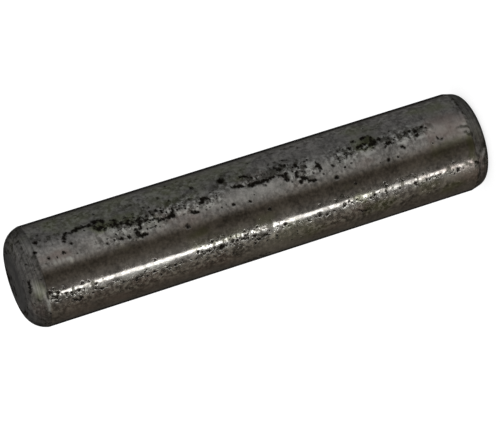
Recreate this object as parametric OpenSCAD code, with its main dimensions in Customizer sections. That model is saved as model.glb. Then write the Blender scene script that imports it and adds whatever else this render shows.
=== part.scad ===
// Solid steel dowel pin, turned and then ground to size in one piece.
// The shank is a plain cylinder. Each end has a taper that leads the pin into
// its hole, and a true arc that rounds the taper into a flat end face.
// The pin stands on its tail end, with +Z along its axis towards the lead end.

/* [Shank] */
// Diameter of the ground shank
pin_d = 7.94; // [6:0.01:16]
// Overall length from end face to end face
pin_l = 38.1; // [20:0.1:100]

/* [Lead end] */
// Length of the lead taper along the axis
lead_l = 1.5; // [0.8:0.05:3]
// Angle of the lead taper to the axis
lead_angle = 15; // [5:0.5:30]
// Radius of the arc between the lead taper and the end face
lead_round = 1.8; // [0.3:0.05:2.4]

/* [Tail end] */
// Length of the tail taper along the axis
tail_l = 1.25; // [0.8:0.05:3]
// Angle of the tail taper to the axis
tail_angle = 15; // [5:0.5:30]
// Radius of the arc between the tail taper and the end face
tail_round = 0.8; // [0.3:0.05:2.4]

/* [Hidden] */

pin_r = pin_d / 2;
// Largest share of its face or its taper that an arc may take up
arc_share = 0.95;
// Smoothness of the arcs and of the revolve
$fn = 128;

// Radius at which a taper would meet the end face if the corner were sharp
function corner_r(taper_l, angle) = pin_r - taper_l * tan(angle);

// Distance from that sharp corner to each of the points where an arc touches.
// The face and the taper meet at an inside angle of 90 degrees plus the taper's.
function touch(arc_r, angle) = arc_r / tan((90 + angle) / 2);

// Radius of an end's arc, held to what its face and its taper have room for
function held_arc(taper_l, angle, round_r) =
    min(
        round_r,
        arc_share * min(corner_r(taper_l, angle), taper_l / cos(angle)) / touch(1, angle)
    );

// Half section of one end, from its face at y = 0 up to y = half_l.
// The polygon cuts the corner off between the arc's two touching points, and the circle
// fills it up to the arc.
module half_section(half_l, taper_l, angle, round_r) {
    arc_r = held_arc(taper_l, angle, round_r);
    reach = touch(arc_r, angle);
    face_r = corner_r(taper_l, angle) - reach;
    touch_y = reach * cos(angle);
    union() {
        polygon([
            [0, 0],
            [face_r, 0],
            [pin_r - (taper_l - touch_y) * tan(angle), touch_y],
            [pin_r, taper_l],
            [pin_r, half_l],
            [0, half_l]
        ]);
        intersection() {
            translate([face_r, arc_r]) circle(r = arc_r);
            square([pin_r, taper_l]);
        }
    }
}

module dowel_pin() {
    half_l = pin_l / 2;
    color("dimgray")
        rotate_extrude()
            union() {
                half_section(half_l, tail_l, tail_angle, tail_round);
                translate([0, pin_l])
                    mirror([0, 1])
                        half_section(half_l, lead_l, lead_angle, lead_round);
            }
}

dowel_pin();
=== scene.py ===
import math
import random

import bmesh
import bpy
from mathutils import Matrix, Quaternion, Vector, kdtree, noise


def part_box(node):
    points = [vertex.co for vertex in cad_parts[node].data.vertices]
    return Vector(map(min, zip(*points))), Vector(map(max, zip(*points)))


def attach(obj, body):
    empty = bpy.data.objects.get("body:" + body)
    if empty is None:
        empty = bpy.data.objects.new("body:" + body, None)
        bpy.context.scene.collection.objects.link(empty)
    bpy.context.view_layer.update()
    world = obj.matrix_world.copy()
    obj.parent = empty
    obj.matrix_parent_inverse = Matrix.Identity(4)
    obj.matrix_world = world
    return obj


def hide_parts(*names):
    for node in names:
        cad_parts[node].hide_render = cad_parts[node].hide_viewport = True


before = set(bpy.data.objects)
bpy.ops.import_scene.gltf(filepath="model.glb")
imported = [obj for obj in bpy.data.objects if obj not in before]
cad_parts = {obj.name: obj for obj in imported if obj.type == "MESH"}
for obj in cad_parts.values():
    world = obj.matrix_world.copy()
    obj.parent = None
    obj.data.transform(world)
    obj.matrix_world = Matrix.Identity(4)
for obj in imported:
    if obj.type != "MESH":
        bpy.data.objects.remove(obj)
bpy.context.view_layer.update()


# Pin blank
# The pin is one solid bar of steel, turned with a taper and a rounded edge at each end and
# then ground to its diameter. It stands on its tail end; the lead end, which has the longer
# rounding, is on top.
MM = 0.001
TAPER_ANGLE = math.radians(15)
LEAD_TAPER = 1.5 * MM
LEAD_ROUND = 1.8 * MM
TAIL_TAPER = 1.25 * MM
TAIL_ROUND = 0.8 * MM
ARC_STEPS = 9
RING_GAP = 0.11 * MM
FACE_RING_GAP = 0.2 * MM
STEPS_ROUND = 236
# Points closer together than this are one
SAME_PLACE = 1e-7

low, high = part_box("dowel_pin")
PIN_R = min(high.x, -low.x, high.y, -low.y)
PIN_L = high.z - low.z


def end_outline(taper, arc_r):
    """Corners (radius, height above the end face) of one end, from its centre to the shank."""
    corner = PIN_R - taper * math.tan(TAPER_ANGLE)
    reach = arc_r / math.tan((math.pi / 2 + TAPER_ANGLE) / 2)
    outline = [(0.0, 0.0)]
    for step in range(ARC_STEPS + 1):
        turn = (math.pi / 2 - TAPER_ANGLE) * step / ARC_STEPS
        outline.append((corner - reach + arc_r * math.sin(turn), arc_r * (1 - math.cos(turn))))
    outline.append((PIN_R, taper))
    return outline


tail = end_outline(TAIL_TAPER, TAIL_ROUND)
lead = [(r, PIN_L - h) for r, h in reversed(end_outline(LEAD_TAPER, LEAD_ROUND))]

corners = [Vector((0, -r, h)) for r, h in tail + lead]
bm = bmesh.new()
line = [bm.verts.new(corners[0])]
for a, b in zip(corners, corners[1:]):
    gap = FACE_RING_GAP if abs(a.z - b.z) < SAME_PLACE else RING_GAP
    parts = max(1, round((b - a).length / gap))
    line += [bm.verts.new(a.lerp(b, part / parts)) for part in range(1, parts + 1)]
for a, b in zip(line, line[1:]):
    bm.edges.new((a, b))
bmesh.ops.spin(
    bm, geom=bm.verts[:] + bm.edges[:], cent=(0, 0, 0), axis=(0, 0, 1), dvec=(0, 0, 0),
    angle=2 * math.pi, steps=STEPS_ROUND, use_merge=True,
)
bmesh.ops.remove_doubles(bm, verts=bm.verts, dist=SAME_PLACE)
bmesh.ops.recalc_face_normals(bm, faces=bm.faces)
for face in bm.faces:
    face.smooth = True
    height = face.calc_center_median().z
    face.material_index = 0 if TAIL_TAPER < height < PIN_L - LEAD_TAPER else 1


# Rust pits and scars
# Damp has eaten small black pits into the shank, most of them in a band along one side and
# some in rows either side of the narrow bright line. They are sunk into the steel, and each
# point of the mesh keeps how deep inside a pit it lies, from 0 through 0.5 at the edge to 1.
PIT_DEPTH = 0.03 * MM
# How black the middle of a pit can be: a little over 1, so that its whole floor is black
FULL_BLACK = 1.06
# How far a pit is felt, in its own radii, and how ragged its edge is
PIT_REACH = 2.4
PIT_RAGGED = 0.4
PIT_RAGGED_SIZE = 0.2 * MM
# The bowl starts a little inside the pit's edge and soon comes down to a flat floor
BOWL_SLOPE = 2.4
BOWL_START = 1.4
BOWL_TO_FLOOR = 1.6
# Height on the pin in mm, angle round from the front towards +X in degrees, size across in mm
# and how deep and black it is, from 0 to 1
LONE_PITS = [
    (36.28, 36.5, 0.36, 1.0), (36.6, 24.4, 0.3, 0.9), (35.78, 13.5, 0.3, 0.5),
    (35.15, 12, 0.24, 0.3), (34.57, 14.6, 0.27, 1.0), (33.8, 22.3, 0.3, 0.6),
    (35.55, 34, 0.26, 0.2), (35.9, 46, 0.3, 0.2), (33.65, 9.5, 0.24, 0.2),
    (31.25, 9.5, 0.24, 0.5), (30.45, 17.5, 0.22, 0.7), (30.4, 11, 0.2, 0.5),
    (30.08, 10, 0.26, 0.9), (29.52, 9.3, 0.32, 0.9), (29.72, 28, 0.34, 0.7),
    (29.3, 33, 0.3, 0.4), (36.1, 8.5, 0.2, 0.3), (35.7, 7, 0.18, 0.2),
    (31.3, 51, 0.34, 0.2), (28.6, 34, 0.3, 0.2), (27.6, 38, 0.3, 0.4),
    (27.3, 36, 0.3, 0.5), (26.3, 45, 0.34, 0.3), (26.85, 29.3, 0.28, 0.9),
    (26.5, 27, 0.26, 0.9), (25.6, 37, 0.24, 0.3), (23.6, 44, 0.42, 0.5),
    (21.27, 41.5, 0.5, 1.0), (21.2, 40, 0.3, 1.0), (27.35, 12, 0.26, 0.5),
    (25.55, 29.3, 0.24, 0.4), (25.05, 26.5, 0.26, 0.5), (24.7, 21.5, 0.26, 0.3),
    (24.15, 31, 0.2, 0.4), (23.2, 12.8, 0.22, 0.4), (22.9, 14, 0.2, 0.3),
    (22.0, 9.5, 0.2, 0.3), (21.65, 11, 0.2, 0.3), (21.1, 8.8, 0.27, 0.9),
    (20.75, 29, 0.24, 0.3), (25.0, 1, 0.4, 0.8), (18.25, 19.2, 0.3, 0.6),
    (19.8, 6.8, 0.26, 0.7), (19.3, 12.5, 0.18, 0.2), (15.4, 31, 0.36, 0.9),
    (16.1, 13.5, 0.24, 0.3), (15.5, 10, 0.32, 1.0), (14.6, 32, 0.26, 0.3),
    (12.68, 16.5, 0.34, 0.6), (13.1, 12, 0.2, 0.2), (11.8, 32, 0.28, 0.4),
    (18.6, 56, 0.34, 0.2), (12.7, 3, 0.36, 0.8), (18.5, -8, 0.3, 0.9),
    (14.7, 26, 0.34, 0.6), (14.9, 19, 0.2, 0.3), (10.9, 31, 0.32, 0.8),
    (10.9, 23.5, 0.26, 0.4), (9.7, 24.3, 0.26, 0.6), (8.4, 31, 0.36, 0.7),
    (7.6, 29, 0.26, 0.4), (6.85, 20, 0.18, 0.3), (6.3, 29.5, 0.3, 0.6),
    (6.15, 23, 0.28, 0.5), (5.83, 28.5, 0.26, 0.8), (5.8, 24, 0.2, 0.6),
    (5.4, 26.7, 0.34, 1.0), (5.42, 21.5, 0.32, 0.9), (4.8, 29.3, 0.3, 0.8),
    (4.5, 27, 0.24, 0.4), (11.2, 13.4, 0.26, 0.5), (8.3, 4.2, 0.3, 0.9),
    (7.5, 4, 0.24, 0.6), (4.0, 12.5, 0.2, 0.3), (7.3, 37, 0.3, 0.2),
    (36.45, -22.5, 0.28, 0.9), (36.3, -27, 0.24, 0.9), (35.85, -25, 0.26, 0.9),
    (36.05, -31, 0.26, 0.8), (35.25, -29.5, 0.26, 0.9), (34.85, -31, 0.24, 0.8),
    (34.25, -30.5, 0.28, 0.8), (33.9, -22.5, 0.26, 0.8), (32.9, -29, 0.28, 0.8),
    (32.5, -37.5, 0.28, 0.8), (34.2, -40.3, 0.32, 1.0), (31.2, -33, 0.28, 0.7),
    (30.8, -38, 0.36, 0.2), (29.65, -38, 0.36, 0.2), (28.9, -40, 0.26, 0.5),
    (28.3, -37.5, 0.3, 0.5), (27.8, -44.5, 0.3, 0.4), (27.2, -37, 0.28, 0.5),
    (26.6, -37, 0.28, 0.7), (26.2, -36.5, 0.24, 0.5), (24.7, -30, 0.26, 0.8),
    (28.1, -23, 0.22, 0.6), (35.4, -21, 0.22, 0.7), (33.4, -23, 0.2, 0.5),
    (22.8, -33.5, 0.46, 1.0), (23.85, -33, 0.3, 0.7), (24.4, -31, 0.22, 0.7),
    (23.1, -41.5, 0.3, 0.5), (23.5, -22.5, 0.22, 0.7), (21.85, -30, 0.26, 0.9),
    (21.55, -31.5, 0.26, 0.9), (20.9, -32, 0.26, 0.8), (20.65, -32.5, 0.26, 0.8),
    (20.1, -32.5, 0.28, 0.9), (19.78, -38.3, 0.32, 1.0), (20.1, -42.5, 0.28, 0.5),
    (20.3, -36, 0.2, 0.5), (17.55, -30.5, 0.28, 1.0), (17.25, -34, 0.24, 0.7),
    (14.65, -33, 0.3, 0.8), (14.2, -35, 0.26, 0.6), (19.8, -22.5, 0.2, 0.5),
    (20.85, -23, 0.18, 0.5), (14.6, -20, 0.18, 0.5), (12.65, -31.5, 0.24, 0.9),
    (10.05, -29.5, 0.22, 0.7), (7.95, -31.5, 0.22, 0.8), (6.6, -31, 0.28, 0.8),
    (5.4, -31.5, 0.24, 0.6), (3.0, -32, 0.28, 0.8), (2.5, -32, 0.2, 0.4),
    (12.6, -19, 0.2, 0.3), (12.2, -22, 0.2, 0.3), (7.6, -22.5, 0.2, 0.3),
    (6.7, -20, 0.2, 0.3), (6.6, -23, 0.22, 0.4), (5.9, -22.5, 0.2, 0.3),
    (3.7, -24, 0.2, 0.5), (3.3, -20.5, 0.2, 0.6), (11.2, -31.5, 0.2, 0.6),
    (10.4, -32, 0.22, 0.7), (13.2, -22, 0.2, 0.7), (11.4, -10, 0.26, 0.7),
    (1.42, -28.5, 0.24, 0.6), (1.24, -30.5, 0.26, 0.7), (1.44, -33.5, 0.2, 0.5),
    (1.08, -33, 0.2, 0.5),
]
# A lone pit is made a little wider than its size above, and a shallow one is paler
LONE_GROWTH = 1.15
LONE_PALEST = 0.68
LONE_RANGE = 0.38
# Scars are rows of pits that have run together: width in mm, depth as a share of a pit's, and
# the places that each passes through
SCARS = [
    (0.36, 0.95, [(34.25, 28), (34.1, 31), (34.0, 34.5), (33.9, 36.5)]),
    (0.16, 0.3, [(34.65, 33), (34.4, 30.5), (34.25, 28.5)]),
    (0.32, 1.0, [(33.6, 35.5), (33.3, 36.3), (33.0, 37), (32.6, 38.5), (32.2, 37.5), (31.9, 35.5)]),
    (0.42, 1.0, [(31.7, 41), (31.45, 39.5)]),
    (0.36, 0.6, [(31.1, 37.5), (30.9, 36)]),
    (0.32, 0.6, [(31.7, 33), (31.5, 30), (31.45, 27)]),
    (0.34, 0.6, [(31.3, 32), (31.1, 29), (31.0, 26)]),
    (0.24, 0.8, [(30.5, 30), (30.4, 26.5)]),
    (0.28, 0.9, [(30.15, 33.5), (30.15, 29), (30.08, 24.5)]),
    (0.34, 0.9, [(29.2, 27), (29.15, 23.5)]),
    (0.32, 1.0, [(28.8, 15.5), (28.88, 12), (28.82, 8.5), (28.5, 6.3), (28.15, 7)]),
    (0.34, 0.9, [(28.35, 22.5), (28.5, 18.5), (28.5, 15.5)]),
    (0.26, 0.7, [(28.9, 24), (28.4, 25.5)]),
    (0.26, 0.9, [(28.35, 22.5), (27.9, 21.8), (27.4, 20), (27.0, 18.7), (26.6, 17.3), (26.2, 16.8)]),
    (0.2, 0.7, [(27.3, 30), (27.25, 26), (27.3, 21)]),
    (0.26, 0.8, [(28.05, 12.8), (27.75, 12.2)]),
    (0.36, 1.0, [(25.7, 23), (25.75, 19.5), (25.85, 16.8), (26.15, 17)]),
    (0.28, 0.9, [(24.25, 14.8), (24.0, 13.3), (23.85, 12.8)]),
    (0.3, 1.0, [(23.45, 21.5), (23.3, 21.5), (23.2, 24.5), (23.1, 27)]),
    (0.24, 0.7, [(22.95, 27.5), (22.8, 24.5), (22.6, 20.5)]),
    (0.2, 0.4, [(22.6, 30.5), (22.2, 28.5), (21.85, 26)]),
    (0.34, 1.0, [(20.42, 28.5), (20.2, 27), (20.0, 26)]),
    (0.26, 0.7, [(19.75, 39), (19.5, 38), (19.2, 37)]),
    (0.32, 1.0, [
        (19.45, 24), (19.1, 23.5), (18.85, 25.5), (18.5, 24), (18.2, 25.5), (17.95, 23), (17.6, 25),
    ]),
    (0.3, 0.8, [(17.6, 25), (17.4, 25.5)]),
    (0.26, 0.9, [(17.05, 26.5), (16.8, 24), (16.65, 21.5)]),
    (0.36, 1.0, [(16.42, 25.5), (16.4, 23.5)]),
    (0.42, 1.0, [(16.6, 19.5), (16.4, 18.5)]),
    (0.2, 0.8, [(18.5, 34), (18.6, 30.5), (18.6, 27)]),
    (0.18, 0.4, [(17.25, 45.5), (17.3, 42), (17.4, 38)]),
    (0.32, 0.7, [(17.0, 36), (16.8, 33), (16.6, 31.5)]),
    (0.22, 0.7, [(16.5, 37), (16.2, 35.5), (15.95, 33.5)]),
    (0.26, 0.7, [(16.3, 44), (16.0, 42.3), (15.75, 40.8)]),
    (0.3, 0.9, [(15.5, 23.5), (15.65, 20), (15.6, 17)]),
    (0.36, 1.0, [(15.3, 13.3), (15.0, 13.2)]),
    (0.36, 1.0, [(14.8, 9), (14.6, 7.5), (14.45, 6.3)]),
    (0.28, 0.9, [(13.75, 26.5), (13.75, 23), (13.65, 20), (13.75, 15.5)]),
    (0.18, 0.5, [(13.85, 24.5), (14.15, 20.5), (14.35, 16)]),
    (0.26, 0.9, [(12.0, 26), (12.0, 22), (12.05, 19)]),
    (0.3, 0.9, [(11.25, 26), (11.3, 22)]),
    (0.34, 0.5, [(10.65, 37), (10.3, 38.5)]),
    (0.38, 0.9, [(9.6, 37.5), (9.4, 39.5)]),
    (0.3, 0.6, [(8.95, 38), (8.95, 34), (9.0, 30)]),
    (0.36, 0.85, [(9.25, 26.5), (8.95, 27.5), (8.85, 29)]),
    (0.26, 0.6, [(10.3, 26.5), (10.1, 29.5), (9.8, 31), (9.5, 31)]),
    (0.22, 0.5, [(9.4, 21), (9.15, 22)]),
    (0.26, 1.0, [(8.15, 18), (8.1, 21)]),
    (0.3, 1.0, [(8.15, 22.5), (7.85, 22), (7.65, 21.5)]),
    (0.26, 0.9, [(6.9, 13), (6.72, 11)]),
    (0.28, 0.25, [(3.95, 10), (3.7, 8.5)]),
    (0.26, 0.8, [(34.8, -38), (34.6, -41), (34.4, -43)]),
    (0.26, 0.7, [(19.5, -37.5), (19.2, -36.5), (18.95, -35)]),
    (0.26, 0.6, [(18.35, -40.5), (18.25, -45)]),
    (0.22, 0.6, [(21.95, -45.5), (21.65, -50)]),
    (0.18, 0.8, [(9.05, -20), (9.07, -27), (9.1, -36)]),
    (0.2, 0.6, [(5.2, -31), (4.8, -31), (4.5, -30.5)]),
    (0.22, 0.4, [(11.5, -43), (11.1, -46), (10.7, -48)]),
    (0.2, 0.5, [(2.0, 116.5), (1.6, 116.5), (1.38, 113.5)]),
    (0.2, 0.5, [(1.8, 209), (1.5, 208.5), (1.3, 205)]),
    (0.4, 0.6, [(37.65, -5), (37.7, -12), (37.72, -18)]),
]
# A scar has a pit at each step, which strays from it by up to so many mm, and a shallow scar
# is paler
SCAR_STEP = 0.12 * MM
SCAR_STRAY_MM = 0.07
SCAR_PALEST = 0.78
SCAR_RANGE = 0.28
# Patches of scattered pits: middle (mm, degrees), half size (mm, degrees), how many, and the
# smallest and largest pit across in mm
PIT_PATCHES = [
    (30.0, 30, 1.0, 7, 10, 0.12, 0.24), (28.2, 26, 0.9, 7, 12, 0.12, 0.26),
    (27.4, 15, 1.2, 8, 12, 0.12, 0.24), (29.8, 15, 0.9, 7, 10, 0.12, 0.22),
    (25.4, 27, 1.6, 7, 12, 0.12, 0.24), (22.9, 25, 1.1, 8, 10, 0.12, 0.24),
    (18.2, 31, 2.0, 6, 14, 0.12, 0.24), (15.2, 24, 1.0, 10, 10, 0.12, 0.24),
    (11.3, 27, 1.1, 8, 10, 0.12, 0.24), (9.6, 27, 0.8, 6, 8, 0.12, 0.24),
    (6.3, 27, 1.8, 6, 20, 0.12, 0.24), (36.15, -26, 0.45, 7, 18, 0.12, 0.2),
    (35.3, -32, 1.1, 4, 14, 0.12, 0.22), (33.4, -34, 2.0, 5, 22, 0.12, 0.24),
    (29.4, -38, 2.6, 6, 18, 0.12, 0.22), (26.0, -37, 1.6, 5, 12, 0.12, 0.22),
    (23.6, -22, 1.6, 3, 8, 0.1, 0.18), (22.4, -34, 2.0, 5, 22, 0.12, 0.26),
    (20.6, -30, 1.6, 4, 16, 0.12, 0.22), (17.0, -33, 1.8, 3, 10, 0.12, 0.22),
    (14.4, -34, 1.8, 4, 14, 0.12, 0.22), (12.4, -29, 1.0, 5, 14, 0.12, 0.22),
    (9.6, -32, 2.2, 4, 18, 0.1, 0.17), (6.0, -32, 2.4, 4, 18, 0.1, 0.17),
    (3.0, -32, 1.6, 5, 18, 0.1, 0.18), (12.4, -20, 1.6, 3, 10, 0.06, 0.12),
    (6.8, -21, 2.2, 3, 12, 0.06, 0.12), (36.2, -36, 0.5, 5, 6, 0.12, 0.2),
]
# The side that the photograph doesn't show is worn in the same way, at random: the degrees that
# it takes in, and how many patches, lone pits and stains of each kind it has
HIDDEN_SIDE = (85, 285)
HIDDEN_PATCHES = 16
HIDDEN_PITS = 70
HIDDEN_STAINS = 8
chance = random.Random(7)

bm.verts.index_update()
bm.verts.ensure_lookup_table()
nearby = kdtree.KDTree(len(bm.verts))
for vert in bm.verts:
    nearby.insert(vert.co, vert.index)
nearby.balance()
pit_layer = bm.verts.layers.float.new("pit")
sunk = [0.0] * len(bm.verts)


def on_pin(z_mm, degrees):
    """A point on the pin's round surface."""
    turn = math.radians(degrees)
    pin_r = PIN_R
    for a, b in zip(corners, corners[1:]):
        if a.z < b.z and a.z <= z_mm * MM <= b.z:
            pin_r = -a.lerp(b, (z_mm * MM - a.z) / (b.z - a.z)).y
    return Vector((pin_r * math.sin(turn), -pin_r * math.cos(turn), z_mm * MM))


def steps_along(places, step):
    """Points close together on the way through places on the pin."""
    path = [on_pin(*place) for place in places]
    for a, b in zip(path, path[1:]):
        parts = max(1, round((b - a).length / step))
        for part in range(parts + 1):
            yield a.lerp(b, part / parts)


def eat(centre, across_mm, depth_share, blackness):
    """Sinks one ragged pit into the shank."""
    pit_r = across_mm * MM / 2
    for co, index, distance in nearby.find_range(centre, PIT_REACH * pit_r):
        ragged = 1 + PIT_RAGGED * noise.noise(co / PIT_RAGGED_SIZE)
        inside = blackness * (1 - distance * ragged / (2 * pit_r))
        vert = bm.verts[index]
        vert[pit_layer] = max(vert[pit_layer], inside)
        bowl = max(0.0, BOWL_SLOPE * inside - BOWL_START)
        depth = PIT_DEPTH * depth_share * min(1.0, BOWL_TO_FLOOR * bowl)
        sunk[index] = max(sunk[index], depth)


for z_mm, degrees, across, depth_share in LONE_PITS:
    blackness = LONE_PALEST + LONE_RANGE * depth_share
    eat(on_pin(z_mm, degrees), LONE_GROWTH * across, depth_share, blackness)
for across, depth_share, places in SCARS:
    for point in steps_along(places, SCAR_STEP):
        wander = Vector([chance.uniform(-SCAR_STRAY_MM, SCAR_STRAY_MM) * MM for _ in "xyz"])
        blackness = (SCAR_PALEST + SCAR_RANGE * depth_share) * chance.uniform(0.86, 1.0)
        width = across * chance.uniform(0.75, 1.3)
        eat(point + wander, width, depth_share, blackness)
for _ in range(HIDDEN_PATCHES):
    PIT_PATCHES.append((
        chance.uniform(3, 35), chance.uniform(*HIDDEN_SIDE), chance.uniform(0.8, 3),
        chance.uniform(5, 12), chance.randint(12, 44), 0.16, 0.34,
    ))
for z_mm, degrees, half_mm, half_deg, count, least, most in PIT_PATCHES:
    for _ in range(count):
        along = chance.gauss(0, 0.5) * half_mm
        round_by = chance.gauss(0, 0.5) * half_deg
        across = chance.uniform(least, most)
        blackness = chance.uniform(0.7, FULL_BLACK)
        eat(on_pin(z_mm + along, degrees + round_by), across, 0.8, blackness)
for _ in range(HIDDEN_PITS):
    place = on_pin(chance.uniform(2, 36), chance.uniform(*HIDDEN_SIDE))
    across = chance.uniform(0.2, 0.46)
    eat(place, across, 1.0, chance.uniform(0.85, FULL_BLACK))


# Stains and roughened steel
# Rust has also roughened and discoloured the skin between the pits: black oxide round the
# worst of them, and faint brown and green films. The black layer also holds painted shade on
# the rims of the end faces, and the pale layer holds painted highlight beside the bright line.
# Each is kept as a strength in the mesh, for the finish to read. A stain ends at about one and
# a half times its half size, unevenly.
STAIN_EDGE = 1.5
STAIN_REACH = 1.8
STAIN_UNEVEN = 0.5
STAIN_LUMPS = 0.8 * MM
# Middle (mm, degrees), half size (mm, degrees) and strength, where over 1 leaves no gaps
FINE_PITTING = [
    (28.8, 19, 2.2, 13, 1.0), (25.2, 25, 1.9, 11, 0.95), (22.9, 23, 1.3, 9, 0.9),
    (31.4, 14, 1.4, 8, 0.45), (18.3, 31, 2.8, 9, 0.85), (15.2, 22, 1.4, 14, 0.85),
    (11.3, 24, 1.6, 12, 0.85), (6.6, 26, 2.1, 10, 0.9), (36.2, -27, 0.5, 8, 0.9),
    (35.0, -33, 1.4, 5, 0.8), (33.4, -35, 2.6, 7, 0.75), (28.6, -37, 3.6, 6, 0.9),
    (22.0, -33, 3.4, 8, 0.95), (20.4, -27, 2.6, 5, 0.85), (23.6, -20, 2.2, 4, 0.35),
    (15.8, -36, 3.0, 6, 0.8), (11.0, -31, 3.4, 6, 0.6), (4.6, -31, 3.4, 6, 0.5),
    (9.0, -20, 7.0, 3, 0.3), (19.0, -37, 18.0, 6, 0.7), (19.0, -46, 18.0, 10, 0.74),
    (28.6, 54, 9.0, 14, 0.3), (9.4, 66, 9.5, 9, 0.4), (18.0, 8, 16.0, 6, 0.2),
]
BLACK_OXIDE_AND_RIM_SHADE = [
    (31.5, 39, 0.5, 4, 0.9), (31.2, 31, 0.6, 6, 0.7), (30.2, 30, 0.7, 6, 0.95),
    (29.2, 29, 0.8, 6, 0.9), (28.8, 22, 0.5, 6, 0.9), (28.7, 12, 0.4, 6, 0.9),
    (27.4, 29, 1.3, 7, 0.85), (27.5, 24, 1.1, 4, 0.7), (25.6, 32, 1.5, 5, 0.75),
    (26.1, 24, 0.35, 4, 0.5), (24.6, 28, 1.3, 5, 0.6), (25.9, 19, 0.4, 5, 0.9),
    (23.2, 25, 0.7, 6, 0.9), (24.2, 35, 2.2, 5, 0.55), (21.3, 41, 0.4, 4, 1.1),
    (21.4, 34, 1.2, 5, 0.6), (20.3, 28, 0.5, 3, 0.9), (35.0, 38, 1.4, 5, 0.5),
    (33.0, 38, 1.0, 3, 0.6), (19.2, 34, 0.7, 6, 0.9), (18.6, 27, 1.4, 4, 0.9),
    (19.8, 30, 0.5, 4, 0.7), (17.4, 32, 1.4, 6, 0.95), (16.4, 22, 0.4, 5, 0.9),
    (17.2, 40, 1.6, 5, 0.6), (15.5, 20, 0.3, 5, 0.8), (14.8, 27, 0.4, 5, 0.7),
    (15.2, 33, 1.1, 6, 0.6), (15.2, 11, 0.6, 4, 0.6), (13.8, 22, 0.4, 6, 0.6),
    (11.9, 27, 0.5, 7, 0.7), (11.1, 28, 0.7, 6, 0.8), (10.0, 30, 0.8, 7, 0.95),
    (9.0, 32, 0.6, 8, 0.85), (7.9, 27, 1.0, 5, 0.95), (8.2, 34, 1.4, 6, 0.5),
    (7.1, 27, 0.8, 5, 0.8), (5.9, 28, 1.6, 5, 0.9), (5.2, 22, 0.6, 4, 0.6),
    (36.6, -26, 0.18, 8, 1.3), (35.9, -26, 0.1, 5, 1.4), (34.68, -27, 0.12, 5, 1.3),
    (33.1, -28, 0.18, 5, 1.3), (31.6, -28, 0.08, 4, 0.8), (34.4, -27, 1.6, 4, 0.2),
    (22.6, -27, 0.08, 5, 1.2), (22.0, -27, 0.06, 5, 1.2), (21.55, -27, 0.06, 5, 1.2),
    (21.2, -27, 0.07, 5, 1.3), (20.45, -27, 0.07, 5, 1.3), (19.95, -27, 0.07, 5, 1.1),
    (19.55, -27, 0.06, 5, 1.1), (18.7, -26, 0.3, 6, 1.8), (17.95, -27, 0.06, 4, 1.0),
    (11.78, -27, 0.16, 5, 1.2), (10.15, -27, 0.14, 5, 1.3), (9.05, -27, 0.08, 7, 1.5),
    (7.7, -27, 0.12, 6, 1.5), (6.4, -27, 0.1, 5, 1.1), (5.6, -27, 0.1, 5, 1.1),
    (3.75, -27, 0.26, 6, 1.3), (1.4, -30, 0.16, 12, 1.4), (24.4, -21, 0.9, 2.5, 0.5),
    (12.65, -19.5, 0.2, 3, 1.3), (12.2, -22, 0.2, 2.5, 1.2), (13.2, -22.5, 0.25, 2.5, 1.1),
    (7.2, -20.5, 0.6, 2.5, 1.0), (6.6, -22.5, 0.25, 2.5, 1.3), (5.9, -22, 0.15, 2.5, 1.1),
    (8.6, -27, 3.0, 4, 0.5), (4.5, -30.5, 1.4, 2.5, 0.7), (3.8, -27, 2.4, 5, 0.5),
    (2.0, -27, 0.9, 5, 0.75), (11.0, -27, 1.2, 4, 0.4), (7.4, -34, 6.0, 2.5, 0.5),
    (22.0, -34, 2.4, 4, 0.5), (22.8, -33, 0.4, 4, 1.0), (19.3, -36, 0.5, 4, 0.9),
    (24.2, -43, 0.7, 4, 0.6), (21.8, -49, 0.5, 6, 0.8), (21.6, -54, 0.5, 4, 0.4),
    (34.5, -40, 0.5, 4, 0.7), (30.8, -38, 0.3, 3, 0.5), (29.6, -38, 0.3, 3, 0.5),
    (18.3, -43, 0.2, 5, 0.8), (1.85, 15.4, 0.35, 1.8, 0.8), (1.45, 14.3, 0.25, 2, 0.9),
    (1.6, 8.2, 0.2, 2, 0.7), (1.42, 5, 0.15, 2.5, 0.8), (1.2, 10, 0.1, 100, 0.75),
    (0.35, -28, 0.45, 14, 0.8), (1.4, 40, 0.3, 16, 0.5), (0.7, -20, 0.4, 9, 0.68),
    (0.9, -30, 0.2, 8, 0.6), (0.4, -14, 0.25, 6, 0.7), (1.1, -41, 0.14, 12, 1.0),
    (36.75, 14, 0.16, 26, 0.5), (37.4, 60, 0.6, 30, 0.5), (0.4, 0, 0.5, 100, 0.14),
    # The stain at 38.02 mm and 180 degrees is painted shade along the far rim of the lead end, which
    # the camera sees edge-on
    (37.5, 32, 0.5, 18, 0.5), (38.02, 180, 0.08, 75, 1.0), (37.2, -52, 0.6, 26, 0.5),
    (36.95, -46, 0.3, 18, 0.65), (37.05, -31, 0.45, 7, 0.6), (36.8, -22, 0.12, 3, 0.5),
    (36.85, -2, 0.25, 12, 0.4), (22.6, -43, 1.2, 5, 0.6), (33.0, -44, 2.6, 4, 0.5),
    (27.8, -40, 2.0, 5, 0.5), (9.6, -45, 1.4, 8, 0.55), (33.0, 62, 2.6, 12, 0.3),
    (24.5, 56, 3.0, 10, 0.3), (15.0, 60, 3.0, 10, 0.35), (8.0, 50, 2.5, 8, 0.35),
    (36.2, 38, 0.6, 10, 0.45), (20.3, 46, 1.2, 8, 0.5), (28.6, 44, 0.7, 6, 0.6),
    (10.8, -46, 0.6, 5, 0.7),
]
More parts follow.
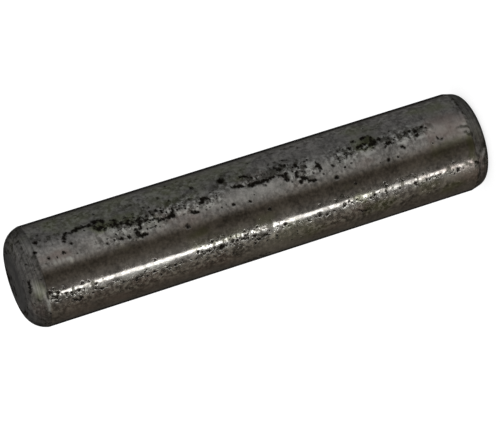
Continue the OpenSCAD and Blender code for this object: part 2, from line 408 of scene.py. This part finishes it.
BROWN_FILM = [
    (28.6, -44, 1.5, 9, 1.0), (22.9, -50, 1.2, 12, 1.0), (24.4, -56, 1.2, 9, 0.8),
    (33.4, -46, 2.6, 9, 0.7), (25.8, 18, 1.3, 10, 0.9), (25.2, 8, 2.6, 7, 0.6),
    (35.2, 13, 1.3, 6, 0.8), (19.2, 33, 1.6, 6, 0.9), (11.2, -41, 0.9, 7, 1.0),
    (1.6, -38, 1.4, 16, 1.2), (10.0, 9, 1.4, 6, 0.5), (16.0, 8, 0.9, 4, 0.4),
    (4.5, 15, 0.3, 14, 0.9), (3.2, 22, 1.7, 16, 1.0), (4.6, 3, 1.4, 6, 0.5),
    (14.0, -54, 1.6, 12, 0.7), (3.6, -26, 3.2, 5, 0.6), (37.2, -46, 0.6, 16, 0.9),
    (30.5, -58, 5.0, 12, 0.6), (12.0, -46, 1.6, 8, 0.6),
]
GREEN_FILM = [
    (31.3, 31, 0.6, 9, 1.2), (29.4, 33, 1.8, 8, 0.9), (27.8, 20, 1.2, 6, 0.4),
    (31.5, 57, 5.0, 20, 0.7), (23.5, 54, 5.0, 18, 0.65), (24.6, 36, 2.6, 7, 0.6),
    (20.2, 38, 0.7, 8, 0.8), (17.0, -46, 2.0, 12, 0.8), (9.7, 32, 1.2, 10, 1.0),
    (9.4, 52, 1.8, 14, 0.6), (1.55, -7, 0.3, 11, 1.1), (1.7, -20, 0.3, 4, 0.9),
    (3.4, -3, 1.5, 9, 0.7), (37.2, -19, 0.5, 14, 0.8), (3.6, -12, 1.6, 5, 0.5),
    (24.2, -10, 0.9, 5, 0.7), (22.8, -21, 2.4, 7, 0.55), (19.2, -17, 1.6, 7, 0.55),
    (12.0, -12, 0.9, 6, 0.5), (10.9, -26, 1.0, 9, 0.5), (9.6, -48, 1.6, 9, 0.8),
    (5.6, -42, 1.6, 12, 0.45), (3.6, -54, 1.2, 9, 0.8), (15.8, -50, 1.8, 11, 0.9),
    (29.8, 0, 0.9, 5, 0.5), (3.6, 54, 2.0, 14, 0.7), (0.6, 10, 0.7, 60, 0.3),
]
# Painted shade round the edges of the end faces, laid in with the black oxide: thickest at the
# far side of the lead end and at the near side of the tail end, the rims that the camera sees
# edge-on
LEAD_RIM_Z = 38.06
TAIL_RIM_Z = 0.1
RIM_SHADE = 0.8
for degrees in range(0, 360, 3):
    more = RIM_SHADE * math.cos(math.radians(degrees))
    BLACK_OXIDE_AND_RIM_SHADE.append((LEAD_RIM_Z, degrees, 0.12, 2, RIM_SHADE - more))
    BLACK_OXIDE_AND_RIM_SHADE.append((TAIL_RIM_Z, degrees, 0.14, 2, RIM_SHADE + more))
# Patches that have been rubbed paler, and a few of painted highlight beside the bright line
RUBBED_AND_HIGHLIGHT = [
    (18.2, -55, 2.2, 16, 0.3), (17.2, -45, 1.8, 8, 0.25), (18.4, -32, 0.14, 5, 1.2),
    (18.62, -39, 0.14, 4, 1.2), (2.7, -38, 1.4, 7, 0.22), (1.85, 12, 0.35, 1.8, 0.3),
    (1.75, 6, 0.2, 1.5, 0.25), (1.5, 17.6, 0.15, 1.5, 0.4), (37.35, -13, 0.3, 8, 0.4),
    (37.0, -17, 0.2, 5, 0.3), (15.6, -38, 1.0, 7, 0.15), (28.2, 14, 1.3, 5, 0.3),
    (28.4, 10.3, 0.2, 2, 1.0), (9.7, 27.5, 0.22, 2, 0.6), (19.4, 14, 2.6, 6, 0.2),
    (2.0, 14, 0.5, 10, 0.1), (3.7, 21, 0.7, 6, 0.2), (36.9, 40, 0.3, 12, 0.2),
    # The four patches at 27.8 to 30.3 mm and -30.5 to -33 degrees are painted highlight, widening
    # the lower edge of the bright line
    (13.0, 18, 1.2, 4, 0.2), (28.6, -30.5, 2.7, 1.6, 0.5), (29.2, -32, 2.0, 2.5, 0.5),
    (30.3, -33, 0.7, 3, 0.45), (27.8, -33, 0.4, 3, 0.35), (22.3, -36, 0.3, 3, 0.5),
    (17.5, -45, 0.7, 7, 0.3), (34.4, 7, 0.2, 2, 0.6), (35.45, 7.5, 0.11, 3.5, 0.5),
    (35.1, 7, 0.1, 3.5, 0.5), (34.8, 7.5, 0.1, 3, 0.45), (30.6, 20, 0.4, 4, 0.4),
    (29.8, 14, 0.5, 3, 0.4), (27.2, 14, 0.4, 5, 0.4), (25.2, 20, 0.5, 4, 0.3),
    (22.9, 15, 0.5, 3, 0.4), (16.0, 22, 0.2, 3, 0.5), (5.2, 18, 0.3, 2, 0.5),
    (6.8, 18.5, 0.6, 2, 0.6), (9.6, 18, 0.5, 2.5, 0.45), (11.4, 18.5, 0.4, 4, 0.45),
]
# Marks where the steel has been scratched bare: width in mm and the places each passes through
BARE_MARKS = [
    (0.22, [(18.35, -25), (18.35, -33), (18.6, -38), (18.8, -42)]),
    (0.18, [(36.66, -32), (36.66, -45)]),
    (0.18, [(34.2, 3), (34.2, 6)]),
]
MARK_STEP = 0.06 * MM
MARK_EDGE = 1.4


def stain(layer, z_mm, degrees, half_mm, half_deg, strength):
    """Lays a soft, uneven oval on one of the mesh's layers."""
    reach = max(half_mm * MM, math.radians(half_deg) * PIN_R)
    for co, index, _ in nearby.find_range(on_pin(z_mm, degrees), STAIN_REACH * reach):
        turn = math.degrees(math.atan2(co.x, -co.y)) - degrees
        turn = (turn + 180) % 360 - 180
        off = math.hypot((co.z / MM - z_mm) / half_mm, turn / half_deg)
        off += STAIN_UNEVEN * noise.noise(co / STAIN_LUMPS)
        vert = bm.verts[index]
        vert[layer] = max(vert[layer], strength * min(1.0, max(0.0, STAIN_EDGE - off)))


for name, patches in (
    ("fine_pitting", FINE_PITTING), ("black_oxide_and_rim_shade", BLACK_OXIDE_AND_RIM_SHADE),
    ("brown_film", BROWN_FILM), ("green_film", GREEN_FILM),
):
    layer = bm.verts.layers.float.new(name)
    for _ in range(HIDDEN_STAINS):
        patches.append((
            chance.uniform(2, 36), chance.uniform(*HIDDEN_SIDE), chance.uniform(0.6, 3),
            chance.uniform(5, 12), chance.uniform(0.3, 0.9),
        ))
    for patch in patches:
        stain(layer, *patch)
bare_and_highlight_layer = bm.verts.layers.float.new("bare_and_highlight")
for patch in RUBBED_AND_HIGHLIGHT:
    stain(bare_and_highlight_layer, *patch)
for across, places in BARE_MARKS:
    for point in steps_along(places, MARK_STEP):
        for _, index, distance in nearby.find_range(point, across * MM):
            vert = bm.verts[index]
            shown = min(1.0, MARK_EDGE * (1 - distance / (across * MM)))
            vert[bare_and_highlight_layer] = max(vert[bare_and_highlight_layer], shown)

for vert in bm.verts:
    inward = Vector((-vert.co.x, -vert.co.y, 0))
    if sunk[vert.index] and inward.length:
        vert.co += inward.normalized() * sunk[vert.index]


def finished_piece(name, bm):
    """Puts a finished shape in the scene."""
    mesh = bpy.data.meshes.new(name)
    bm.to_mesh(mesh)
    bm.free()
    piece = bpy.data.objects.new(name, mesh)
    bpy.context.scene.collection.objects.link(piece)
    return piece


pin = finished_piece("ground_pin", bm)
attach(pin, "root")
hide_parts("dowel_pin")


# Steel finish
# Hardened steel that has gone dark grey. The shank is ground, with hair-fine lines round it;
# the tapers, roundings and end faces are turned, so they are duller and coarser.
STEEL_DARK = (0.04, 0.0384, 0.0366, 1)
STEEL_PALE = (0.135, 0.1296, 0.1237, 1)
PIT_BLACK = (0.005, 0.0042, 0.0034, 1)
# The two blacks colour real oxide and also the painted shade on the rims of the end faces
OXIDE_AND_RIM_SHADE_BLACK = (0.021, 0.02, 0.0165, 1)
OLIVE_AND_RIM_SHADE_BLACK = (0.018, 0.019, 0.008, 1)
RUST_BROWN = (0.083, 0.066, 0.06, 1)
FILM_GREEN = (0.062, 0.066, 0.041, 1)
# This pale colour is bare steel and also paints the highlight beside the bright line
BARE_STEEL_AND_HIGHLIGHT = (0.228, 0.23, 0.217, 1)
# Size of the lumps in the steel's uneven skin, from broad clouds to the crumbled edges of pits
CLOUD_LUMPS = 1.6 * MM
PATCHY_LUMPS = 0.45 * MM
BLOTCH_LUMPS = 0.42 * MM
POCK_LUMPS = 0.34 * MM
GRAIN_LUMPS = 0.26 * MM
CRUMB_LUMPS = 0.13 * MM
# Tiny pits come in two sizes, each so far apart
SMALL_PIT_SPACING = 0.27 * MM
TINY_PIT_SPACING = 0.16 * MM
# Height of the grain and the pocks, and the depth that the finish adds to any pit
GRAIN_HEIGHT = 0.0007 * MM
POCK_HEIGHT = 0.003 * MM
HOLLOW_DEPTH = 0.009 * MM


def feed(tree, socket, value):
    """Sets a socket, or links it where the value comes from another node."""
    if isinstance(value, bpy.types.NodeSocket):
        tree.links.new(value, socket)
    else:
        socket.default_value = value


def calc(tree, operation, *values):
    """One sum with numbers or the results of other nodes."""
    node = tree.nodes.new("ShaderNodeMath")
    node.operation = operation
    for socket, value in zip(node.inputs, values):
        feed(tree, socket, value)
    return node.outputs[0]


def fade(tree, value, start, end, low=0.0, high=1.0):
    """Turns start..end into low..high with a soft step, and stays level outside."""
    node = tree.nodes.new("ShaderNodeMapRange")
    node.interpolation_type = "SMOOTHSTEP"
    for name, given in (
        ("Value", value), ("From Min", start), ("From Max", end), ("To Min", low), ("To Max", high),
    ):
        feed(tree, node.inputs[name], given)
    return node.outputs["Result"]


def cloud(tree, place, size, detail=2.0, roughness=0.5):
    """Soft noise with lumps of about the given size in metres."""
    node = tree.nodes.new("ShaderNodeTexNoise")
    node.inputs["Detail"].default_value = detail
    node.inputs["Roughness"].default_value = roughness
    node.inputs["Scale"].default_value = 1 / size
    feed(tree, node.inputs["Vector"], place)
    return node.outputs["Fac"]


def tint_mix(tree, share, first, second):
    """Goes from the first colour to the second as the share goes from 0 to 1."""
    node = tree.nodes.new("ShaderNodeMix")
    node.data_type = "RGBA"
    # Sockets 6 and 7 are the two colours, and output 2 is their mix
    for index, value in ((0, share), (6, first), (7, second)):
        feed(tree, node.inputs[index], value)
    return node.outputs[2]


def scaled(tree, colour, share):
    """Makes a colour brighter or darker."""
    node = tree.nodes.new("ShaderNodeVectorMath")
    node.operation = "SCALE"
    feed(tree, node.inputs[0], colour)
    feed(tree, node.inputs["Scale"], share)
    return node.outputs[0]


def kept(tree, name):
    """One of the strengths that the mesh keeps."""
    node = tree.nodes.new("ShaderNodeAttribute")
    node.attribute_name = name
    return node.outputs["Fac"]


def new_group(name, takes, gives):
    """A shader node group with its sockets, its input node and its output node."""
    group = bpy.data.node_groups.new(name, "ShaderNodeTree")
    for label, kind in takes:
        group.interface.new_socket(label, in_out="INPUT", socket_type=kind)
    for label in gives:
        group.interface.new_socket(label, in_out="OUTPUT", socket_type="NodeSocketFloat")
    return group, group.nodes.new("NodeGroupInput"), group.nodes.new("NodeGroupOutput")


def place_group(tree, group, **given):
    """Puts a group in a material with its own values."""
    node = tree.nodes.new("ShaderNodeGroup")
    node.node_tree = group
    for label, value in given.items():
        feed(tree, node.inputs[label], value)
    return node


# Tiny pits, too small for the mesh: each cell of a Voronoi pattern may hold one, with a pale
# rim. The pattern is bent a little, so that the pits aren't round.
BEND_LUMPS = 0.15 * MM
BEND_BY = 0.12 * MM
# Radius of a pit, and width of its soft edge and of its rim, as shares of the spacing
LEAST_R = 0.24
R_RANGE = 0.22
SOFT_EDGE = 0.2
RIM_WIDTH = 0.16
tiny_pits, takes, gives = new_group(
    "tiny_pits",
    [("Place", "NodeSocketVector"), ("Spacing", "NodeSocketFloat"), ("Share", "NodeSocketFloat")],
    ["Pits", "Rims"],
)
bend = tiny_pits.nodes.new("ShaderNodeTexNoise")
bend.inputs["Scale"].default_value = 1 / BEND_LUMPS
bend.inputs["Detail"].default_value = 1.0
tiny_pits.links.new(takes.outputs["Place"], bend.inputs["Vector"])
shove = tiny_pits.nodes.new("ShaderNodeVectorMath")
shove.operation = "MULTIPLY_ADD"
shove.inputs[1].default_value = (BEND_BY,) * 3
tiny_pits.links.new(bend.outputs["Color"], shove.inputs[0])
tiny_pits.links.new(takes.outputs["Place"], shove.inputs[2])
cells = tiny_pits.nodes.new("ShaderNodeTexVoronoi")
tiny_pits.links.new(shove.outputs[0], cells.inputs["Vector"])
fineness = calc(tiny_pits, "DIVIDE", 1.0, takes.outputs["Spacing"])
tiny_pits.links.new(fineness, cells.inputs["Scale"])
# Red says whether a cell holds a pit, green how wide the pit is and blue how black
draw = tiny_pits.nodes.new("ShaderNodeSeparateColor")
tiny_pits.links.new(cells.outputs["Color"], draw.inputs[0])
held = calc(tiny_pits, "LESS_THAN", draw.outputs["Red"], takes.outputs["Share"])
rim = calc(tiny_pits, "MULTIPLY_ADD", draw.outputs["Green"], R_RANGE, LEAST_R)
middle = calc(tiny_pits, "SUBTRACT", rim, SOFT_EDGE)
how_black = calc(tiny_pits, "MULTIPLY_ADD", draw.outputs["Blue"], 0.6, 0.4)
hole = fade(tiny_pits, cells.outputs["Distance"], middle, rim, 1.0, 0.0)
hole = calc(tiny_pits, "MULTIPLY", hole, how_black)
tiny_pits.links.new(calc(tiny_pits, "MULTIPLY", hole, held), gives.inputs["Pits"])
outside = calc(tiny_pits, "ADD", rim, RIM_WIDTH)
lip = fade(tiny_pits, cells.outputs["Distance"], rim, outside, 1.0, 0.0)
lip = calc(tiny_pits, "SUBTRACT", lip, hole)
tiny_pits.links.new(calc(tiny_pits, "MULTIPLY", lip, held), gives.inputs["Rims"])

# Lines that a tool or a grinding wheel leaves round the pin, closer or wider by their pitch.
# They follow the outline over the rounding and across the end faces.
tool_lines, takes, gives = new_group(
    "tool_lines", [("Place", "NodeSocketVector"), ("Pitch", "NodeSocketFloat")], ["Lines"],
)
axes = tool_lines.nodes.new("ShaderNodeSeparateXYZ")
tool_lines.links.new(takes.outputs["Place"], axes.inputs[0])
x_squared = calc(tool_lines, "MULTIPLY", axes.outputs["X"], axes.outputs["X"])
y_squared = calc(tool_lines, "MULTIPLY", axes.outputs["Y"], axes.outputs["Y"])
from_axis = calc(tool_lines, "SQRT", calc(tool_lines, "ADD", x_squared, y_squared))
from_middle = calc(tool_lines, "SUBTRACT", axes.outputs["Z"], PIN_L / 2)
along = calc(tool_lines, "SUBTRACT", calc(tool_lines, "ABSOLUTE", from_middle), from_axis)
hair = tool_lines.nodes.new("ShaderNodeTexNoise")
hair.noise_dimensions = "1D"
hair.inputs["Scale"].default_value = 1.0
hair.inputs["Detail"].default_value = 3.0
hair.inputs["Roughness"].default_value = 0.7
tool_lines.links.new(calc(tool_lines, "DIVIDE", along, takes.outputs["Pitch"]), hair.inputs["W"])
tool_lines.links.new(hair.outputs["Fac"], gives.inputs["Lines"])

# Uneven darkening of old steel: broad clouds with a fine grain in them
old_steel, takes, gives = new_group(
    "old_steel", [("Place", "NodeSocketVector")], ["Cloud", "Grain", "Pocks"],
)
for label, lumps, detail, roughness, start, end in (
    ("Cloud", CLOUD_LUMPS, 5.0, 0.62, 0.32, 0.68),
    ("Grain", GRAIN_LUMPS, 3.0, 0.6, 0.3, 0.7),
    ("Pocks", POCK_LUMPS, 3.0, 0.55, 0.32, 0.68),
):
    uneven = cloud(old_steel, takes.outputs["Place"], lumps, detail, roughness)
    old_steel.links.new(fade(old_steel, uneven, start, end), gives.inputs[label])


def steel(name, rough, glance, pitch, line_depth, line_shade, tone, pit_share):
    """One finish of the pin's steel, with its pits, films and tool lines.

    It takes the roughness, the shine at a glancing angle, the lines' pitch, depth and shade, how
    pale the steel is, and the share of tiny pits where nothing has eaten the steel.
    """
    material = bpy.data.materials.new(name)
    material.use_nodes = True
    tree = material.node_tree
    shader = tree.nodes["Principled BSDF"]
    shader.inputs["Metallic"].default_value = 1.0
    place = tree.nodes.new("ShaderNodeTexCoord").outputs["Object"]
    age = place_group(tree, old_steel, Place=place)
    lines = place_group(tree, tool_lines, Place=place, Pitch=pitch).outputs["Lines"]

    # Pits: those that the mesh keeps, with crumbled edges, and the tiny ones with their pale lips
    eaten = kept(tree, "fine_pitting")
    share = fade(tree, eaten, 0.3, 1.1, pit_share, 0.5)
    small = place_group(tree, tiny_pits, Place=place, Spacing=SMALL_PIT_SPACING, Share=share)
    tiny = place_group(tree, tiny_pits, Place=place, Spacing=TINY_PIT_SPACING, Share=share)
    fainter = calc(tree, "MULTIPLY", tiny.outputs["Pits"], 0.8)
    dots = calc(tree, "MAXIMUM", small.outputs["Pits"], fainter)
    crumbled = calc(tree, "MULTIPLY_ADD", cloud(tree, place, CRUMB_LUMPS), 0.8, -0.4)
    pit = fade(tree, calc(tree, "ADD", kept(tree, "pit"), crumbled), 0.38, 0.74)
    hollow = calc(tree, "MAXIMUM", pit, dots)
    lips = calc(tree, "MAXIMUM", small.outputs["Rims"], tiny.outputs["Rims"])
    lips = calc(tree, "MULTIPLY", lips, fade(tree, age.outputs["Grain"], 0.3, 0.8, 0.0, 0.42))

    # Skin: pale specks and dark mottles where it is eaten, and soft brown and green films
    specks = calc(tree, "MULTIPLY", fade(tree, age.outputs["Pocks"], 0.52, 0.9, 0.0, 0.8), eaten)
    mottled = calc(tree, "MULTIPLY_ADD", eaten, 0.9, 0.15)
    mottles = calc(tree, "MULTIPLY", fade(tree, age.outputs["Pocks"], 0.44, 0.1), mottled)
    skin = calc(tree, "MULTIPLY", age.outputs["Cloud"], 0.45)
    skin = calc(tree, "MULTIPLY_ADD", age.outputs["Grain"], 0.55, skin)
    colour = tint_mix(tree, skin, STEEL_DARK, STEEL_PALE)
    soft = calc(tree, "MULTIPLY_ADD", age.outputs["Cloud"], 0.5, -0.25)
    brown = fade(tree, calc(tree, "ADD", kept(tree, "brown_film"), soft), 0.1, 1.1, 0.0, 0.7)
    colour = tint_mix(tree, brown, colour, RUST_BROWN)
    green = fade(tree, calc(tree, "ADD", kept(tree, "green_film"), soft), 0.1, 1.1, 0.0, 0.85)
    colour = tint_mix(tree, green, colour, FILM_GREEN)

    # Black: stains of oxide with broken edges, the painted shade on the end rims, the mottles, and
    # what is etched a little
    oxide_and_rim_shade = kept(tree, "black_oxide_and_rim_shade")
    broken = calc(tree, "MULTIPLY_ADD", cloud(tree, place, BLOTCH_LUMPS, 3.0, 0.6), 2.4, -1.2)
    broken = calc(tree, "MULTIPLY", broken, fade(tree, oxide_and_rim_shade, 0.0, 0.3))
    stains_and_rim_shade = fade(tree, calc(tree, "ADD", oxide_and_rim_shade, broken), 0.3, 0.95, 0.0, 0.88)
    patchy = calc(tree, "MULTIPLY_ADD", cloud(tree, place, PATCHY_LUMPS), 2.4, -1.2)
    etched = fade(tree, calc(tree, "ADD", eaten, patchy), 0.5, 1.0)
    black = calc(tree, "MAXIMUM", stains_and_rim_shade, calc(tree, "MULTIPLY", mottles, 0.9))
    black = calc(tree, "MAXIMUM", black, calc(tree, "MULTIPLY", etched, 0.4))
    colour = tint_mix(tree, black, colour, tint_mix(tree, green, OXIDE_AND_RIM_SHADE_BLACK, OLIVE_AND_RIM_SHADE_BLACK))
    # Oxide, and the painted shade on the end rims, don't shine at a glancing angle as steel does
    gleam = calc(tree, "MULTIPLY_ADD", stains_and_rim_shade, -0.9 * glance, glance)
    tree.links.new(gleam, shader.inputs["Specular Tint"])

    # Bright: what is rubbed or scratched bare, the painted highlight beside the bright line, the
    # lips and the specks. Then come the pits and the shade of the tool lines.
    specks = calc(tree, "MULTIPLY", specks, calc(tree, "SUBTRACT", 1.0, stains_and_rim_shade))
    bright = calc(tree, "MAXIMUM", kept(tree, "bare_and_highlight"), calc(tree, "MAXIMUM", lips, specks))
    colour = tint_mix(tree, calc(tree, "MULTIPLY", bright, 0.85), colour, BARE_STEEL_AND_HIGHLIGHT)
    colour = tint_mix(tree, hollow, colour, PIT_BLACK)
    striped = fade(tree, lines, 0.3, 0.7)
    shade = calc(tree, "MULTIPLY_ADD", striped, line_shade, tone - line_shade / 2)
    tree.links.new(scaled(tree, colour, shade), shader.inputs["Base Color"])

    # Clouded steel, pits, oxide and brown film are duller
    duller = calc(tree, "MULTIPLY_ADD", age.outputs["Cloud"], 0.06, rough - 0.03)
    duller = calc(tree, "MULTIPLY_ADD", hollow, 0.3, duller)
    duller = calc(tree, "MULTIPLY_ADD", black, 0.18, duller)
    duller = calc(tree, "MULTIPLY_ADD", brown, 0.12, duller)
    tree.links.new(duller, shader.inputs["Roughness"])

    # Height of the lines, the grain and the pocks, less that of the pits
    height = calc(tree, "MULTIPLY", lines, line_depth)
    height = calc(tree, "MULTIPLY_ADD", age.outputs["Grain"], GRAIN_HEIGHT, height)
    rough_skin = calc(tree, "MULTIPLY", age.outputs["Pocks"], eaten)
    height = calc(tree, "MULTIPLY_ADD", rough_skin, POCK_HEIGHT, height)
    height = calc(tree, "MULTIPLY_ADD", hollow, -HOLLOW_DEPTH, height)
    bump = tree.nodes.new("ShaderNodeBump")
    bump.inputs["Distance"].default_value = 1.0
    tree.links.new(height, bump.inputs["Height"])
    tree.links.new(bump.outputs[0], shader.inputs["Normal"])
    return material


pin.data.materials.append(steel(
    "ground_steel", rough=0.1, glance=0.55, pitch=0.2 * MM, line_depth=0.0005 * MM,
    line_shade=0.12, tone=1.02, pit_share=0.01,
))
pin.data.materials.append(steel(
    "turned_steel", rough=0.36, glance=0.5, pitch=0.36 * MM, line_depth=0.003 * MM,
    line_shade=0.32, tone=0.66, pit_share=0.05,
))


# Floor and background
# A plain white floor under the pin, which fades into a plain white background. The floor
# takes the pin's soft shadow.
FLOOR_R = 0.5
FLOOR_STEPS = 96
FLOOR_DROP = 0.02 * MM
FLOOR_SHADE = 0.3
# How bright the eye sees the lit floor: a little over white, so that only the shadow shows
SEEN_LEVEL = 1.1
WHITE = (1, 1, 1, 1)


def white_to_the_eye(tree):
    """A mask that is 1 for camera, glossy and transmission rays, which see plain white."""
    path = tree.nodes.new("ShaderNodeLightPath")
    seen = calc(tree, "MAXIMUM", path.outputs["Is Camera Ray"], path.outputs["Is Glossy Ray"])
    return calc(tree, "MAXIMUM", seen, path.outputs["Is Transmission Ray"])


def empty_material(name):
    """A material with no shader yet, and its node tree."""
    material = bpy.data.materials.new(name)
    material.use_nodes = True
    material.node_tree.nodes.clear()
    return material, material.node_tree


bm = bmesh.new()
bmesh.ops.create_circle(bm, cap_ends=True, radius=FLOOR_R, segments=FLOOR_STEPS)
bmesh.ops.translate(bm, verts=bm.verts, vec=(0, 0, -FLOOR_DROP))
floor = finished_piece("floor", bm)
floor_paint, tree = empty_material("white_floor")
diffuse = tree.nodes.new("ShaderNodeBsdfDiffuse")
diffuse.inputs["Color"].default_value = (FLOOR_SHADE, FLOOR_SHADE, FLOOR_SHADE, 1)
glow = tree.nodes.new("ShaderNodeEmission")
lift = calc(tree, "MULTIPLY", white_to_the_eye(tree), SEEN_LEVEL - FLOOR_SHADE)
tree.links.new(lift, glow.inputs["Strength"])
both = tree.nodes.new("ShaderNodeAddShader")
tree.links.new(diffuse.outputs[0], both.inputs[0])
tree.links.new(glow.outputs[0], both.inputs[1])
out = tree.nodes.new("ShaderNodeOutputMaterial")
tree.links.new(both.outputs[0], out.inputs["Surface"])
floor.data.materials.append(floor_paint)
floor.visible_glossy = False
floor.visible_shadow = False

world = bpy.data.worlds.new("white_room")
world.use_nodes = True
bpy.context.scene.world = world
background = world.node_tree.nodes["Background"]
background.inputs["Color"].default_value = WHITE
background.inputs["Strength"].default_value = 1.0


# Light tent
# The pin stands in a round tent of dim cloth with lit panels. It only shows in the pin's
# reflections: a wide soft panel on one side of the camera and a narrow bright one on the
# other.
TENT_R = 0.45
TENT_STEPS = 96
TOP_LEVEL = 14.0
# Angle round from the camera towards +X in degrees, brightness, and warmth from 0 to 1
PANELS = [
    (-180, 0.12, 0.3), (-166, 0.06, 0.3), (-154, 0.04, 0.4), (-150, 0.22, 0.6),
    (-142, 0.42, 0.8), (-132, 0.48, 0.85), (-118, 0.5, 0.9), (-100, 0.6, 0.85),
    (-84, 0.82, 0.75), (-74, 1.0, 0.6), (-66, 1.25, 0.35), (-59, 1.9, 0.1),
    (-57.3, TOP_LEVEL, 0.12), (-51.3, TOP_LEVEL, 0.12), (-50.1, 1.0, 0.3), (-45, 0.92, 0.45),
    (-24, 0.55, 0.85), (-10, 0.36, 1.0), (-3, 0.5, 0.9), (6, 1.1, 0.45),
    (14, 1.5, 0.2), (42, 1.6, 0.1), (52, 1.35, 0.0), (66, 0.9, 0.0),
    (80, 0.76, 0.0), (110, 0.78, 0.0), (130, 0.74, 0.1), (139, 0.58, 0.2),
    (146, 0.22, 0.3), (152, 0.04, 0.3), (166, 0.06, 0.3), (180, 0.12, 0.3),
]
COOL = Vector((1.0, 1.01, 1.01))
WARM = Vector((1.0, 0.86, 0.68))
# Heights on the tent are shares of its radius. The panels lean round the height that the shank
# reflects to the camera.
PANEL_LEAN = math.radians(7)
SHANK_CLIMB = -0.265
# The panels go from one brightness to another between two heights, below and above that
PANELS_BELOW = (-0.62, -0.4, 0.85, 1.0)
PANELS_ABOVE = (-0.15, 0.25, 1.0, 0.62)
# The cloth overhead, which the end faces and roundings see, comes in between two heights
OVERHEAD = 0.78
OVERHEAD_CLIMB = (0.1, 0.7)

bm = bmesh.new()
bmesh.ops.create_uvsphere(bm, u_segments=TENT_STEPS, v_segments=TENT_STEPS // 2, radius=TENT_R)
bmesh.ops.reverse_faces(bm, faces=bm.faces)
tent = finished_piece("light_tent", bm)
tent_cloth, tree = empty_material("lit_tent_cloth")
split = tree.nodes.new("ShaderNodeSeparateXYZ")
tree.links.new(tree.nodes.new("ShaderNodeTexCoord").outputs["Object"], split.inputs[0])
turn = calc(tree, "ARCTAN2", split.outputs["X"], calc(tree, "MULTIPLY", split.outputs["Y"], -1.0))
climb = calc(tree, "DIVIDE", split.outputs["Z"], TENT_R)
lean = calc(tree, "MULTIPLY_ADD", climb, -PANEL_LEAN, PANEL_LEAN * SHANK_CLIMB)
turn = calc(tree, "ADD", turn, lean)
bands = tree.nodes.new("ShaderNodeValToRGB")
tree.links.new(calc(tree, "MULTIPLY_ADD", turn, 1 / (2 * math.pi), 0.5), bands.inputs[0])
# A new ramp has two stops already
stops = bands.color_ramp.elements
for i, (angle, level, warmth) in enumerate(PANELS):
    stop = stops[i] if i < 2 else stops.new(1.0)
    stop.position = (angle + 180) / 360
    stop.color = (*(COOL.lerp(WARM, warmth) * level / TOP_LEVEL), 1)
below = fade(tree, climb, *PANELS_BELOW)
above = fade(tree, climb, *PANELS_ABOVE)
panels = scaled(tree, bands.outputs["Color"], calc(tree, "MULTIPLY", above, below))
overhead = fade(tree, climb, *OVERHEAD_CLIMB, 0.0, OVERHEAD / TOP_LEVEL)
total = tree.nodes.new("ShaderNodeVectorMath")
total.operation = "ADD"
tree.links.new(panels, total.inputs[0])
tree.links.new(overhead, total.inputs[1])
light = tree.nodes.new("ShaderNodeEmission")
light.inputs["Strength"].default_value = TOP_LEVEL
tree.links.new(total.outputs[0], light.inputs["Color"])
out = tree.nodes.new("ShaderNodeOutputMaterial")
tree.links.new(light.outputs[0], out.inputs["Surface"])
tent.data.materials.append(tent_cloth)
tent.visible_camera = False
tent.visible_diffuse = False
tent.visible_shadow = False
tent.visible_transmission = False


# Camera
# It looks a little down on the standing pin, from a step away, and is rolled so that the
# pin lies across the picture.
PHOTO_W = 500
FOCAL_PX = 2611
SENSOR_MM = 36.0
ELEVATION = math.radians(15.41)
ROLL = math.radians(-107.63)
DISTANCE = 200.9 * MM
# Where the pin's middle is in the view, right and up from the view's middle
AIM = Vector((-0.166 * MM, 0.187 * MM))

lens = bpy.data.cameras.new("camera")
lens.sensor_width = SENSOR_MM
lens.lens = FOCAL_PX * SENSOR_MM / PHOTO_W
lens.clip_start = 0.01
lens.clip_end = 5.0
camera = bpy.data.objects.new("camera", lens)
bpy.context.scene.collection.objects.link(camera)
back = Vector((0, -math.cos(ELEVATION), math.sin(ELEVATION)))
facing = (-back).to_track_quat("-Z", "Y") @ Quaternion((0, 0, 1), ROLL)
camera.rotation_mode = "QUATERNION"
camera.rotation_quaternion = facing
camera.location = Vector((0, 0, PIN_L / 2)) - facing @ Vector((AIM.x, AIM.y, -DISTANCE))
bpy.context.scene.camera = camera
bpy.context.scene.view_settings.view_transform = "Standard"
